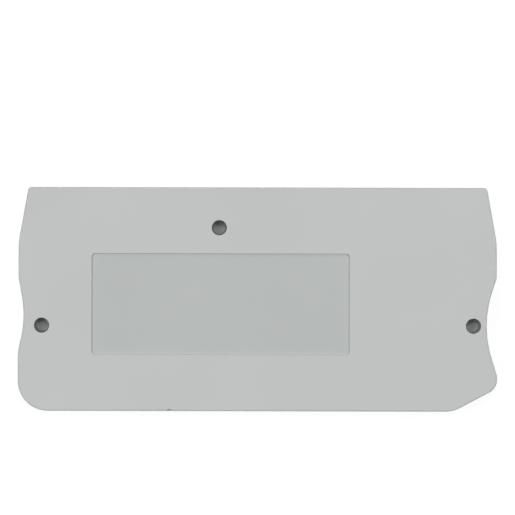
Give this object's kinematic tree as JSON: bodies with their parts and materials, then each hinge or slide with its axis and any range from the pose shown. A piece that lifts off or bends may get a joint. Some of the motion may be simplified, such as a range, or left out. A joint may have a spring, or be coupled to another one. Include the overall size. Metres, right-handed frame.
{
  "type": "terminal block end cover",
  "caption": "Flat moulded end cover with waisted sides, a shallow marking recess and cored pins that press into the open side of a terminal block.",
  "frame": {"origin": "centre of the bounding box, at the level of the pin ends that the cover lies on", "axes": "+X along the length, towards the nose with the sloping chamfer; +Y from the bottom edge to the top edge; +Z out of the outer face"},
  "size_m": [0.0604, 0.0282, 0.0052],
  "materials": {
    "light_grey_moulding": "fine spark-eroded texture"
  },
  "bodies": {
    "root": {"end_cover": "light_grey_moulding"}
  },
  "joints": []
}
